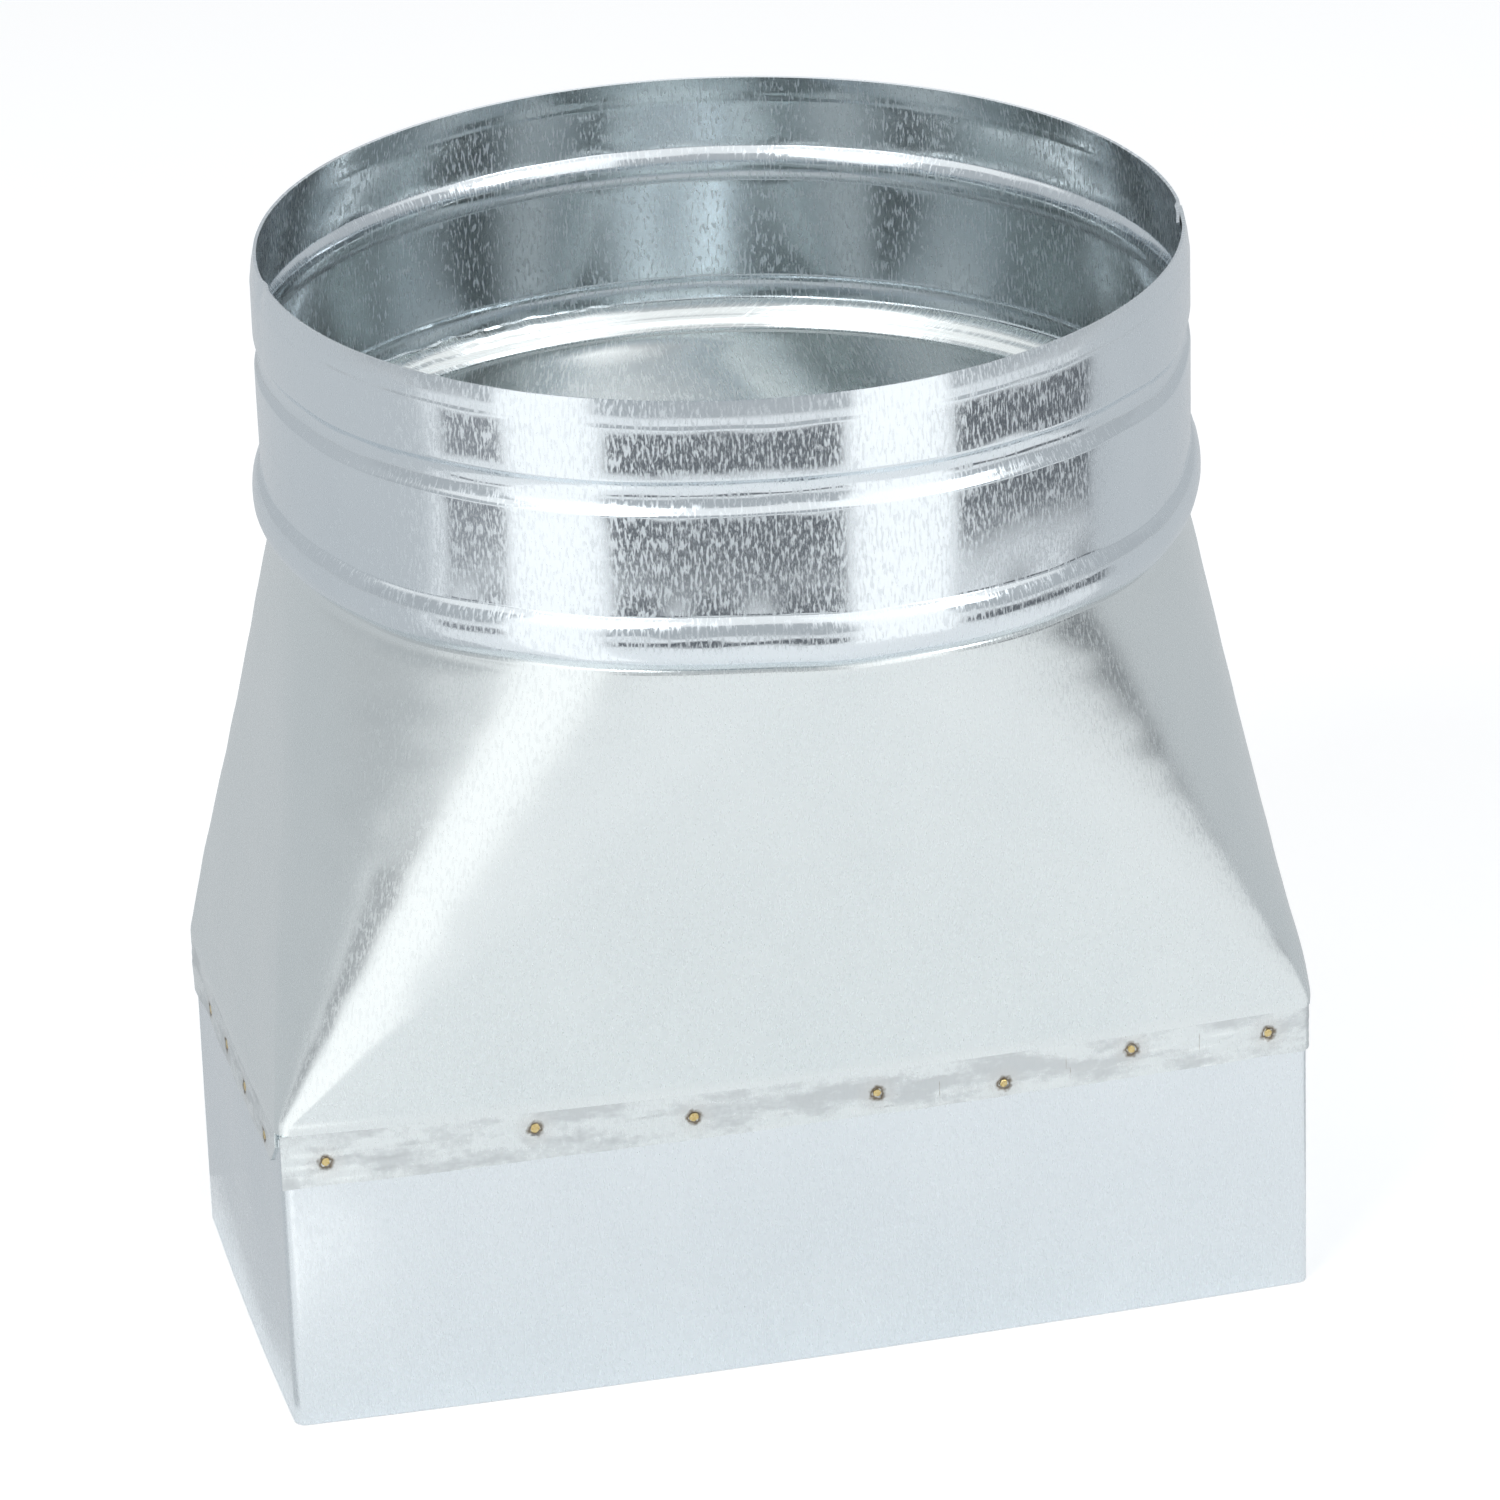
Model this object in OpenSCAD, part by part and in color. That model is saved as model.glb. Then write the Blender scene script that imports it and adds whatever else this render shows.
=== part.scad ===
// Flat duct adapter: a round collar locked onto a square-to-round body whose skirt is spot
// welded round a flat rectangular sleeve.
// Millimetres. The origin is the centre of the sleeve's open lower edge, +X runs along the
// long side, the long front wall faces -Y and +Z rises to the round collar.

/* [Rectangular sleeve] */
// Outside width of the sleeve along X
sleeve_w = 204; // [190:1:230]
// Outside depth of the sleeve along Y, measured at its corners
sleeve_d = 94; // [80:1:110]
// Height of the sleeve that shows below the skirt
sleeve_h = 51.2; // [35:0.1:90]
// Height of the sleeve that runs up inside the skirt
sleeve_lap = 9.8; // [6:0.2:11]
// Outside bend radius of the sleeve's four corners
corner_r = 2.3; // [1.5:0.1:6]
// Outward bow in the middle of the two long walls
long_bow = 2; // [0:0.1:4]
// Outward bow in the middle of the two short walls
short_bow = 0.5; // [0:0.1:2]
// Width of the lap where the sleeve's two ends meet on the back wall
sleeve_seam_w = 12; // [8:1:20]
// Length of the joggle beside that lap
joggle_w = 3; // [2:0.5:5]

/* [Sheet] */
// Thickness of the galvanised sheet
sheet_t = 0.6; // [0.5:0.1:0.9]
// Clearance between two sheets that lie on each other
seat_gap = 0.05; // [0.03:0.01:0.1]

/* [Square to round body] */
// Height of the skirt at its low right end
skirt_h = 11.4; // [11.4:0.2:20]
// How much higher the skirt's upper fold runs at the left end
fold_rise = 2; // [0:0.2:4]
// Sag of the skirt's upper fold in the middle of the long walls
fold_sag = 1.1; // [0:0.1:2]
// Height over which the skirt's fold is rounded, each way
fold_round = 1.1; // [0.6:0.1:2]
// Height of the four flat faces between the fold's right end and the neck
body_h = 100.1; // [70:0.1:150]
// Height over which the body turns into the neck
neck_round = 2.6; // [1.5:0.1:4]
// How much shorter the left skirt is than the front one
left_lip_cut = 2.8; // [0:0.2:4]
// Height of the relief cut in the skirt's front left corner
relief_h = 11.4; // [8:0.2:12]
// Drop of the bevel that trims the left skirt beside the relief cut
relief_bevel = 5; // [1:0.5:7]
// Width of the lap that closes the body on its right face
body_seam_w = 12; // [8:1:18]

/* [Round collar] */
// Outside diameter of the collar's plain wall
collar_d = 178.4; // [160:0.2:196]
// Height of the collar from its lower edge to the rim
collar_h = 51.8; // [50:0.2:80]
// Height of the collar's lower edge above the start of the neck
collar_lift = 2.4; // [2.2:0.1:4]
// Amount by which the rim is drawn in, on the radius
rim_draw = 0.9; // [0.2:0.1:2]
// Height of the drawn-in rim band
rim_band = 4.4; // [3:0.1:7]
// Height of the rolled step below the rim band
rim_step = 1.5; // [1:0.1:3]
// Depth of the inward bead's centre below the rim
bead_drop = 18.4; // [14:0.1:21]
// Width of the inward bead
bead_w = 7; // [5:0.1:8]
// Depth of the inward bead
bead_depth = 1.5; // [1:0.1:2]
// Width of the outward lock bead at the collar's lower edge
lock_w = 9.4; // [9:0.1:11]
// Height of the lock bead, on the radius
lock_proud = 1.8; // [1.6:0.1:2.2]
// Gap between the collar's inside and the neck. The collar's curled lower edge spans it
neck_inset = 1.15; // [0.8:0.05:1.4]
// Direction of the collar's lap joint, in degrees from +X
seam_angle = -18; // [-180:1:180]
// Width of the collar's lap joint, in degrees
seam_span = 6; // [4:1:10]

/* [Neck inside the collar] */
// Depth of the inward rib round the neck's upright stretch
neck_rib = 0.35; // [0.1:0.05:0.6]
// How far the neck's lip stays short of the lock bead's crest, in degrees round the bead
lip_stop = 8; // [0:1:25]

/* [Spot welds] */
// Diameter of a weld mark
weld_d = 2.8; // [2:0.1:4]
// Depth of the dimple that the electrode leaves
weld_deep = 0.25; // [0.15:0.05:0.35]
// Thickness of the copper coloured skin in the dimple
weld_skin = 0.15; // [0.05:0.05:0.15]
// Height of the weld rows above the skirt's lower edge
weld_up = 5; // [4:0.5:7]
// Number of weld marks in the long front skirt
front_welds = 7; // [2:1:11]
// Number of weld marks in the short side skirts
side_welds = 4; // [2:1:6]
// Distance of the long rows' end marks from the corners
weld_inset = 8.5; // [6:0.5:20]
// Distance of the left row's first mark from the back corner, and the right row's from the front
side_first = 23.5; // [8:0.5:30]
// Distance of the left row's last mark from the front corner, and the right row's from the back
side_last = 13.5; // [8:0.5:25]

/* [Hidden] */

zinc = [0.80, 0.83, 0.85];
zinc_cool = [0.74, 0.79, 0.83];
zinc_pale = [0.84, 0.87, 0.89];
copper_tone = [0.66, 0.52, 0.26];

fold_z = sleeve_h + skirt_h;
neck_z = fold_z + body_h;
collar_z = neck_z + collar_lift;
rim_z = collar_z + collar_h;
// Lowest point of the skirt's upper fold, and the sleeve's top, which stays below its bend
fold_lean = fold_sag > 0 ? min(1, fold_rise / (4 * fold_sag)) : 1;
fold_low = fold_z + fold_rise * (1 - fold_lean) / 2 - fold_sag * (1 - fold_lean * fold_lean);
sleeve_top = min(sleeve_h + sleeve_lap, fold_low - fold_round - seat_gap);
skin_in = seat_gap;
skin_out = seat_gap + sheet_t;
wall_r = collar_d / 2 - sheet_t / 2;
neck_r = collar_d / 2 - sheet_t - neck_inset;
// Small overlap with which parts of one sheet run into each other
bite = 0.03;
// The body's top runs up inside the neck's wall by this much, set in from its two faces
neck_sink = 0.4;
neck_tuck = 0.15;
// Reach of cutting solids past the surfaces they cut
clear = 1;

// Turns, fractions and smooth steps
function clamp01(v) = max(0, min(1, v));
function ease(v) = let (c = clamp01(v)) c * c * (3 - 2 * c);
function polar(r, a) = [r * cos(a), r * sin(a)];
function mix(p, q, u) = p * (1 - u) + q * u;

// The rectangular outline, shared by the sleeve, the skirt and the body's lower edge.
// A station is [wall, place, turn]: wall numbers run 0 right, 1 back, 2 left, 3 front.
// On a wall the place runs -1 to 1; in the corner after it the turn runs 0 to 1.
long_steps = 12;
short_steps = 6;
corner_steps = 22;
function wall_bow(k) = k % 2 == 0 ? short_bow : long_bow;
function wall_steps(k) = k % 2 == 0 ? short_steps : long_steps;
function wall_reach(k) = (k % 2 == 0 ? sleeve_w : sleeve_d) / 2;
function wall_half(k) = (k % 2 == 0 ? sleeve_d : sleeve_w) / 2 - corner_r;
stations = [
    for (k = [0 : 3]) each concat(
        [for (i = [0 : wall_steps(k)]) [k, 2 * i / wall_steps(k) - 1, 0]],
        [for (j = [1 : corner_steps - 1]) [k, 1, j / corner_steps]])
];
count = len(stations);

function on_wall(k, place, out) =
    polar(wall_reach(k) + wall_bow(k) * (1 - place * place) + out, 90 * k)
    + polar(wall_half(k) * place, 90 * k + 90);
function on_corner(k, turn, out) =
    polar(wall_reach(k) - corner_r, 90 * k) + polar(wall_half(k), 90 * k + 90)
    + polar(corner_r + out, 90 * (k + turn));
function outline_point(s, out) =
    s[2] > 0 ? on_corner(s[0], s[2], out) : on_wall(s[0], s[1], out);
function outline(out) = [for (s = stations) outline_point(s, out)];

// The round end of each straight line of the body. A flat face keeps only a narrow stretch
// of the circle, and the corner cones share the rest.
face_share = 2.4;
function face_spread(k) = k % 2 == 0 ? face_share / 2 : face_share;
function circle_angle(s) =
    s[2] > 0
    ? 90 * s[0] + face_spread(s[0])
        + (90 - face_spread(s[0]) - face_spread(s[0] + 1)) * s[2]
    : 90 * s[0] + face_spread(s[0]) * s[1];

// Heights of the skirt's upper fold and lower edge round the outline
function fold_height(p) =
    let (v = 2 * p[0] / sleeve_w)
    fold_z + fold_rise * (1 - v) / 2 - fold_sag * clamp01(1 - v * v);
function left_share(s) = s[0] == 2 && s[2] == 0 ? ease((s[1] + 1) * 2.5) : 0;
function after_left(s) = s[0] == 2 && s[2] > 0 ? 1 - ease(s[2]) : 0;
function skirt_low(s) = sleeve_h + left_lip_cut * max(left_share(s), after_left(s));

// One point of the body's straight lines, u = 0 at the fold and 1 at the neck
function body_point(s, out, r, u) =
    let (p = outline_point(s, out), a = circle_angle(s), q = polar(r, a))
    mix([p[0], p[1], fold_height(p)], [q[0], q[1], neck_z], u);
function skirt_point(s, out, down) =
    let (p = outline_point(s, out)) [p[0], p[1], fold_height(p) - down];
function skirt_edge(s, out) =
    let (p = outline_point(s, out)) [p[0], p[1], skirt_low(s)];
function neck_point(s, r, up) =
    let (q = polar(r, circle_angle(s))) [q[0], q[1], neck_z + up];

// The rings of one side of the sheet, from the skirt's edge to inside the neck's wall
fold_u = fold_round / body_h;
neck_u = neck_round / body_h;
function rings(out, r, tuck) = [
    [for (s = stations) skirt_edge(s, out)],
    [for (s = stations) skirt_point(s, out, fold_round)],
    [for (s = stations) mix(
        mix(skirt_point(s, out, fold_round), body_point(s, out, r, fold_u), 0.5),
        body_point(s, out, r, 0), 0.6)],
    [for (s = stations) body_point(s, out, r, fold_u)],
    [for (s = stations) body_point(s, out, r, 1 - neck_u)],
    [for (s = stations) mix(body_point(s, out, r, 1 - neck_u * 0.45),
        neck_point(s, r, -neck_round * 0.45), 0.4)],
    [for (s = stations) neck_point(s, r - tuck, 0)],
    [for (s = stations) neck_point(s, r - tuck, neck_sink)]
];

// Closed shell between the outer and the inner rings
module shell(outer, inner) {
    rows = len(outer);
    both = concat(outer, [for (i = [rows - 1 : -1 : 0]) inner[i]]);
    total = 2 * rows;
    faces = [
        for (i = [0 : total - 1]) for (j = [0 : count - 1])
            let (a = i * count + j, b = i * count + (j + 1) % count)
            let (c = ((i + 1) % total) * count + (j + 1) % count)
            let (d = ((i + 1) % total) * count + j)
            each [[a, c, b], [a, d, c]]
    ];
    polyhedron(points = [for (ring = both) each ring], faces = faces);
}

// A sheet profile: the path's points are [radius, height] at the middle of the sheet
function unit(v) = v / norm(v);
function path_normal(path, i) =
    let (a = path[max(i - 1, 0)], b = path[min(i + 1, len(path) - 1)], d = unit(b - a))
    [d[1], -d[0]];
function offset_path(path, by) =
    [for (i = [0 : len(path) - 1]) path[i] + by * path_normal(path, i)];
module ribbon(path, from, to) {
    near = offset_path(path, from);
    far = offset_path(path, to);
    polygon(concat(far, [for (i = [len(near) - 1 : -1 : 0]) near[i]]));
}

// A rolled bead is an arc across its width. The inward one is sunk in the vertical wall.
bead_steps = 10;
function bead_radius(w, h) = (w * w / 4 + h * h) / (2 * h);
function sunk_bead(mid_z, w, h) =
    let (r = bead_radius(w, h), a = asin(w / (2 * r)))
    [for (i = [0 : bead_steps])
        let (b = -a + 2 * a * i / bead_steps)
        [wall_r - (h - r + r * cos(b)), mid_z + r * sin(b)]];

// The lock bead's circle, whose lower end runs on inward until it meets the neck
lock_mid = collar_z + lock_w / 2;
lock_r = bead_radius(lock_w, lock_proud);
lock_centre = [wall_r + lock_proud - lock_r, lock_mid];
curl_end = -acos((neck_r + seat_gap + sheet_t / 2 - lock_centre[0]) / lock_r);
lock_arc = [for (i = [0 : bead_steps + 4])
    lock_centre + polar(lock_r,
        curl_end + (asin(lock_w / (2 * lock_r)) - curl_end) * i / (bead_steps + 4))];
bead_z = rim_z - bead_drop;
step_top = rim_z - rim_band;
step_low = step_top - rim_step;
// Drawn-in amount at the foot of the rim band, where the rolled step begins
rim_foot = rim_draw * 0.7;
rim_path = concat(
    [for (i = [0 : 5]) [wall_r - rim_foot * ease(i / 5), mix(step_low, step_top, i / 5)]],
    [[wall_r - rim_draw, rim_z]]);
// The plain stretches of wall run between points this far from the beads
plain_end = 1;
upper_path = concat(
    [[wall_r, bead_z - bead_w / 2 - plain_end]],
    sunk_bead(bead_z, bead_w, bead_depth),
    [[wall_r, bead_z + bead_w / 2 + plain_end], [wall_r, step_low - plain_end]],
    rim_path);
collar_path = concat(lock_arc, [[wall_r, collar_z + lock_w + plain_end]], upper_path);
// The inner layer of the collar's lap starts above the lock bead
lap_path = concat([[wall_r, collar_z + lock_w + 2 * plain_end]], upper_path);

// The neck: a short upright ring, an inward rib and a lip that lies inside the lock bead
lip_r = lock_r - sheet_t - seat_gap;
neck_mid = neck_r - sheet_t / 2;
lip_low = -acos((neck_mid - lock_centre[0]) / lip_r);
lip_steps = 7;
rib_low = neck_z + bite;
rib_h = lock_mid + lip_r * sin(lip_low) - bite - rib_low;
rib_steps = 8;
neck_path = concat(
    [[neck_mid, neck_z]],
    [for (i = [0 : rib_steps])
        [neck_mid - neck_rib * (1 - cos(360 * i / rib_steps)) / 2,
            rib_low + rib_h * i / rib_steps]],
    [for (i = [0 : lip_steps])
        lock_centre + polar(lip_r, mix(lip_low, -lip_stop, i / lip_steps))]);

// Weld marks: [centre on the skirt's outer surface, direction it faces]
skirt_row = sleeve_h + weld_up;
function wall_spot(k, place, z) =
    let (p = on_wall(k, place, skin_out)) [[p[0], p[1], z], 90 * k];
function row_places(k, n, first, last) =
    let (a = -1 + (first - corner_r) / wall_half(k), b = 1 - (last - corner_r) / wall_half(k))
    [for (i = [0 : n - 1]) a + (b - a) * i / (n - 1)];
// The marks are set by hand, so the long rows shift along the wall and all rows in height
slip = [0, 9.4, 9.2, 14.3, 8.5, 3.2, 0];
hop = [0, 1.7, -0.3, -0.5, -2.3, 1, 0];
side_hop = [0.4, 1.7, 1.6, 0.3];
function long_row(k) =
    let (places = row_places(k, front_welds, weld_inset, weld_inset))
    [for (i = [0 : front_welds - 1])
        wall_spot(k, places[i] + slip[i % 7] / wall_half(k), skirt_row + hop[i % 7])];
function side_row(k) =
    let (places = row_places(k, side_welds, side_first, side_last))
    [for (i = [0 : side_welds - 1]) wall_spot(k, places[i], skirt_row + side_hop[i % 4])];
weld_spots = concat(long_row(3), long_row(1), side_row(2), side_row(0));

module at_spot(spot) {
    translate(spot[0]) rotate([0, 0, spot[1]]) rotate([0, 90, 0]) children();
}

module dimples(spots) {
    for (spot = spots) {
        at_spot(spot) {
            translate([0, 0, -weld_deep]) cylinder(d = weld_d, h = weld_deep + clear, $fn = 24);
        }
    }
}

// Collar: rolled wall with both beads, and the inner layer of its lap joint
module round_collar() {
    color(zinc) {
        rotate_extrude($fn = 180) ribbon(collar_path, -sheet_t / 2, sheet_t / 2);
        rotate([0, 0, seam_angle]) {
            rotate_extrude(angle = seam_span, $fn = 180) {
                ribbon(lap_path, -sheet_t * 1.5, bite - sheet_t / 2);
            }
            // The joggle that brings the inner layer back into the wall
            for (i = [1 : 2]) {
                rotate([0, 0, seam_span + 0.6 * (i - 1) - bite]) {
                    rotate_extrude(angle = 0.6 + bite, $fn = 180) {
                        ribbon(lap_path, -sheet_t * (1.5 - i / 3), bite - sheet_t / 2);
                    }
                }
            }
        }
    }
}

// Skirt, four flat faces and four corner cones
module body_shell() {
    shell(rings(skin_out, neck_r, neck_tuck), rings(skin_in, neck_r - sheet_t, -neck_tuck));
}

// Relief cut in the front left corner of the skirt, with the left skirt's end bevelled
module corner_relief() {
    edge_x = -sleeve_w / 2 + corner_r;
    edge_y = -sleeve_d / 2 + corner_r;
    reach = corner_r + skin_out + clear;
    translate([edge_x - reach, edge_y - reach, sleeve_h - clear]) {
        cube([reach, reach, relief_h + clear]);
    }
    translate([edge_x, edge_y, sleeve_h - clear]) rotate([90, 0, -90]) {
        linear_extrude(height = reach) {
            polygon([[-clear, 0], [relief_bevel, 0], [relief_bevel, left_lip_cut + clear],
                [0, left_lip_cut + relief_bevel + clear], [-clear, left_lip_cut + relief_bevel]]);
        }
    }
}

// The front skirt runs straight out to the corner beside the relief cut
module corner_tab() {
    tab_x = -sleeve_w / 2 - seat_gap;
    translate([tab_x, -sleeve_d / 2 - skin_out, sleeve_h]) {
        cube([corner_r + seat_gap + bite, sheet_t, relief_h - clear / 2]);
    }
}

// Lap that closes the body, on the right face
module body_seam() {
    run = sleeve_w / 2 + short_bow + skin_out - neck_r;
    lean = atan(run / body_h);
    strip = body_h / cos(lean) - 2 * neck_round - 3;
    translate([sleeve_w / 2 + short_bow + skin_out, 0, fold_z]) rotate([0, -lean, 0]) {
        translate([-sheet_t / 2, -body_seam_w / 2, 3]) cube([sheet_t, body_seam_w, strip]);
    }
}

// Body: skirt, faces and cones, with the neck and its lip that the collar is locked round
module transition() {
    color(zinc_pale) {
        difference() {
            union() {
                body_shell();
                body_seam();
            }
            corner_relief();
            dimples(weld_spots);
        }
        corner_tab();
        rotate_extrude($fn = 180) ribbon(neck_path, -sheet_t / 2, sheet_t / 2);
    }
}

// Sleeve: a strip folded to a rectangle, its ends lapped on the back wall
module rectangular_sleeve() {
    back_y = sleeve_d / 2 + long_bow;
    half = sleeve_seam_w / 2;
    color(zinc_cool) {
        linear_extrude(height = sleeve_top) {
            difference() {
                polygon(outline(0));
                difference() {
                    polygon(outline(-sheet_t));
                    polygon([[-half, back_y], [-half, back_y - 2 * sheet_t],
                        [half, back_y - 2 * sheet_t], [half + joggle_w, back_y - sheet_t],
                        [half + joggle_w, back_y]]);
                }
                polygon([[half, back_y + clear], [half, back_y - sheet_t],
                    [half + joggle_w, back_y], [half + joggle_w, back_y + clear]]);
            }
        }
    }
}

// Weld marks: the thin copper coloured skin left in each dimple
module weld_marks() {
    color(copper_tone) {
        for (spot = weld_spots) {
            at_spot(spot) {
                translate([0, 0, -weld_deep]) {
                    cylinder(d = weld_d - 2 * seat_gap, h = weld_skin, $fn = 24);
                }
            }
        }
    }
}

round_collar();
transition();
rectangular_sleeve();
weld_marks();
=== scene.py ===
import math

import bmesh
import bpy
import numpy as np
from mathutils import Matrix, Vector


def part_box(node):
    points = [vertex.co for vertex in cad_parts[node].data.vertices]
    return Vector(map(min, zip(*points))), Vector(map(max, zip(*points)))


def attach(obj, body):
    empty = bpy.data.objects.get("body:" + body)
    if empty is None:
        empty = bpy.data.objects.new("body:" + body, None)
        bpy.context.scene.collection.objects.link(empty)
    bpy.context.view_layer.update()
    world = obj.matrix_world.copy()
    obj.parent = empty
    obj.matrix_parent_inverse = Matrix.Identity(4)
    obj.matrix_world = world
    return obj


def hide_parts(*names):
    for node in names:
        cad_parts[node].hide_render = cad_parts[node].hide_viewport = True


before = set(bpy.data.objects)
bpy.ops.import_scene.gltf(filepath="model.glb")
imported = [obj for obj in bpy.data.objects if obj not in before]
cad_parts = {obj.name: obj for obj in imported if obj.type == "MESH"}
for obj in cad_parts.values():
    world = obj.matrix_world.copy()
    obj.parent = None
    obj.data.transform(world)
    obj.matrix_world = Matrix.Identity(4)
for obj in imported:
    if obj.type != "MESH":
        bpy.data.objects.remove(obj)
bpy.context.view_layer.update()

MM = 0.001

# Sizes in millimetres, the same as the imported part's
SLEEVE_W, SLEEVE_D, SLEEVE_H = 204.0, 94.0, 51.2
CORNER_R, LONG_BOW, SHORT_BOW = 2.3, 2.0, 0.5
SHEET, GAP = 0.6, 0.05
FOLD_Z, FOLD_RISE, FOLD_SAG, FOLD_ROUND = 62.6, 2.0, 1.1, 1.1
BODY_H, NECK_ROUND = 100.1, 2.6
LEFT_CUT, BEVEL = 2.8, 5.0
WALL_R, NECK_R = 88.9, 87.45
COLLAR_Z, RIM_Z = 165.1, 216.9
LOCK_W, LOCK_PROUD = 9.4, 1.8
BEAD_Z, BEAD_W, BEAD_DEPTH = 198.5, 7.0, 1.5
RIM_DRAW, RIM_BAND, RIM_STEP = 0.9, 4.4, 1.5
LAP_START, LAP_SPAN = -15.5, 6.0
SKIN_OUT = GAP + SHEET
NECK_Z = FOLD_Z + BODY_H
WELD_D, WELD_DEEP, WELD_UP = 2.8, 0.25, 5.0


# Small helpers for curves and seeded unevenness

def ease(t):
    t = np.clip(t, 0.0, 1.0)
    return t * t * (3.0 - 2.0 * t)


def bell(x, width):
    return np.exp(-(x / width) ** 2)


def along(x, table):
    """Smooth value at x from pairs of place and value."""
    places = np.array([p for p, _ in table], float)
    values = np.array([v for _, v in table], float)
    i = np.clip(np.searchsorted(places, x) - 1, 0, len(places) - 2)
    return values[i] + (values[i + 1] - values[i]) * ease((x - places[i]) / (places[i + 1] - places[i]))


def ripple(a, b, waves, low, high, seed):
    """Soft unevenness from seeded waves. a is an angle in radians and closes on itself."""
    chance = np.random.default_rng(seed)
    total = 0.0
    for _ in range(waves):
        round_a = int(chance.integers(low, high + 1))
        round_b = chance.uniform(-high, high)
        total = total + chance.uniform(0.5, 1.0) * np.sin(round_a * a + round_b * b + chance.uniform(0, 6.28))
    return total / math.sqrt(waves)


def polar(radius, degrees):
    return np.stack([radius * np.cos(np.radians(degrees)), radius * np.sin(np.radians(degrees))], -1)


# One sheet metal piece, put together from grids that have an outer and an inner side

class SheetPiece:
    def __init__(self):
        self.points, self.quads, self.uvs, self.extra = [], [], [], {}
        self.count = 0

    def add(self, outer, inner, u, v, wrap=False, **extra):
        rows, cols = outer.shape[:2]
        total = 2 * rows
        ring = np.concatenate([outer, inner[::-1]])
        i = np.arange(total)[:, None]
        j = np.arange(cols if wrap else cols - 1)[None, :]
        i2, j2 = (i + 1) % total, (j + 1) % cols
        quads = np.stack([i * cols + j, i * cols + j2, i2 * cols + j2, i2 * cols + j], -1).reshape(-1, 4)
        vv = np.concatenate([v, v[::-1]])
        ones_i, ones_j = np.ones_like(i, float), np.ones_like(j, float)
        u = u if u.ndim == 2 else np.repeat(u[None], rows, 0)
        uu = np.concatenate([u, u[::-1]])
        corner_u = np.stack([uu[i, j], uu[i, j + 1], uu[i2, j + 1], uu[i2, j]], -1)
        corner_v = np.stack([vv[i] * ones_j, vv[i] * ones_j, vv[i2] * ones_j, vv[i2] * ones_j], -1)
        uv = np.stack([corner_u, corner_v], -1).reshape(-1, 4, 2)
        if not wrap:
            r = np.arange(rows - 1)
            for column in (0, cols - 1):
                cap = np.stack([r * cols + column, (r + 1) * cols + column,
                                (total - 2 - r) * cols + column, (total - 1 - r) * cols + column], -1)
                quads = np.concatenate([quads, cap])
                flat = np.stack([np.full((rows - 1, 4), u[0, column]),
                                 np.stack([v[r], v[r + 1], v[r + 1], v[r]], -1)], -1)
                uv = np.concatenate([uv, flat])
        self.quads.append(quads + self.count)
        self.points.append(ring.reshape(-1, 3))
        self.uvs.append(uv)
        for name in set(self.extra) | set(extra):
            given = extra.get(name)
            if given is None:
                width = self.extra[name][0].shape[1]
                block = np.full((total * cols, width), 99.0)
            else:
                given = given if given.ndim == 3 else given[..., None]
                block = np.concatenate([given, np.full_like(given, 99.0)]).reshape(total * cols, -1)
            if name not in self.extra:
                self.extra[name] = [np.full((self.count, block.shape[1]), 99.0)] if self.count else []
            self.extra[name].append(block)
        self.count += total * cols

    def build(self, name, material, slot, *nodes):
        mesh = bpy.data.meshes.new(name)
        mesh.from_pydata((np.concatenate(self.points) * MM).tolist(), [], np.concatenate(self.quads).tolist())
        layer = mesh.uv_layers.new(name="sheet")
        layer.data.foreach_set("uv", (np.concatenate(self.uvs) * MM).astype(np.float32).ravel())
        for key, blocks in self.extra.items():
            data = np.concatenate(blocks)
            kind = "FLOAT_VECTOR" if data.shape[1] == 3 else "FLOAT"
            attribute = mesh.attributes.new(key, kind, "POINT")
            attribute.data.foreach_set("vector" if data.shape[1] == 3 else "value",
                                       data.astype(np.float32).ravel())
        work = bmesh.new()
        work.from_mesh(mesh)
        bmesh.ops.recalc_face_normals(work, faces=work.faces)
        work.to_mesh(mesh)
        work.free()
        mesh.polygons.foreach_set("use_smooth", np.ones(len(mesh.polygons), bool))
        mesh.set_sharp_from_angle(angle=math.radians(38))
        mesh.materials.append(material)
        piece = bpy.data.objects.new(name, mesh)
        bpy.context.scene.collection.objects.link(piece)
        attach(piece, "root")
        if nodes:
            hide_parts(*nodes)
        return piece


# The rectangular outline. Walls are numbered 0 right, 1 back, 2 left, 3 front.

def wall_values(k):
    k = np.asarray(k)
    short = k % 2 == 0
    reach = np.where(short, SLEEVE_W, SLEEVE_D) / 2
    half = np.where(short, SLEEVE_D, SLEEVE_W) / 2 - CORNER_R
    bow = np.where(short, SHORT_BOW, LONG_BOW)
    return reach, half, bow


def outline(k, place, turn, out):
    reach, half, bow = wall_values(k)
    bowed = bow * np.clip(1 - place * place, 0, 1)
    flat = polar(reach + bowed + out, 90.0 * k) + polar(half * place, 90.0 * k + 90)
    corner = (polar(reach - CORNER_R, 90.0 * k) + polar(half, 90.0 * k + 90)
              + polar(CORNER_R + out, 90.0 * (k + turn)))
    return np.where((turn > 0)[..., None], corner, flat)


def circle_angle(k, place, turn):
    spread = np.where(k % 2 == 0, 1.2, 2.4)
    after = np.where(k % 2 == 0, 2.4, 1.2)
    on_wall = 90.0 * k + spread * place
    on_corner = 90.0 * k + spread + (90 - spread - after) * turn
    return np.where(turn > 0, on_corner, on_wall)


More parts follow.
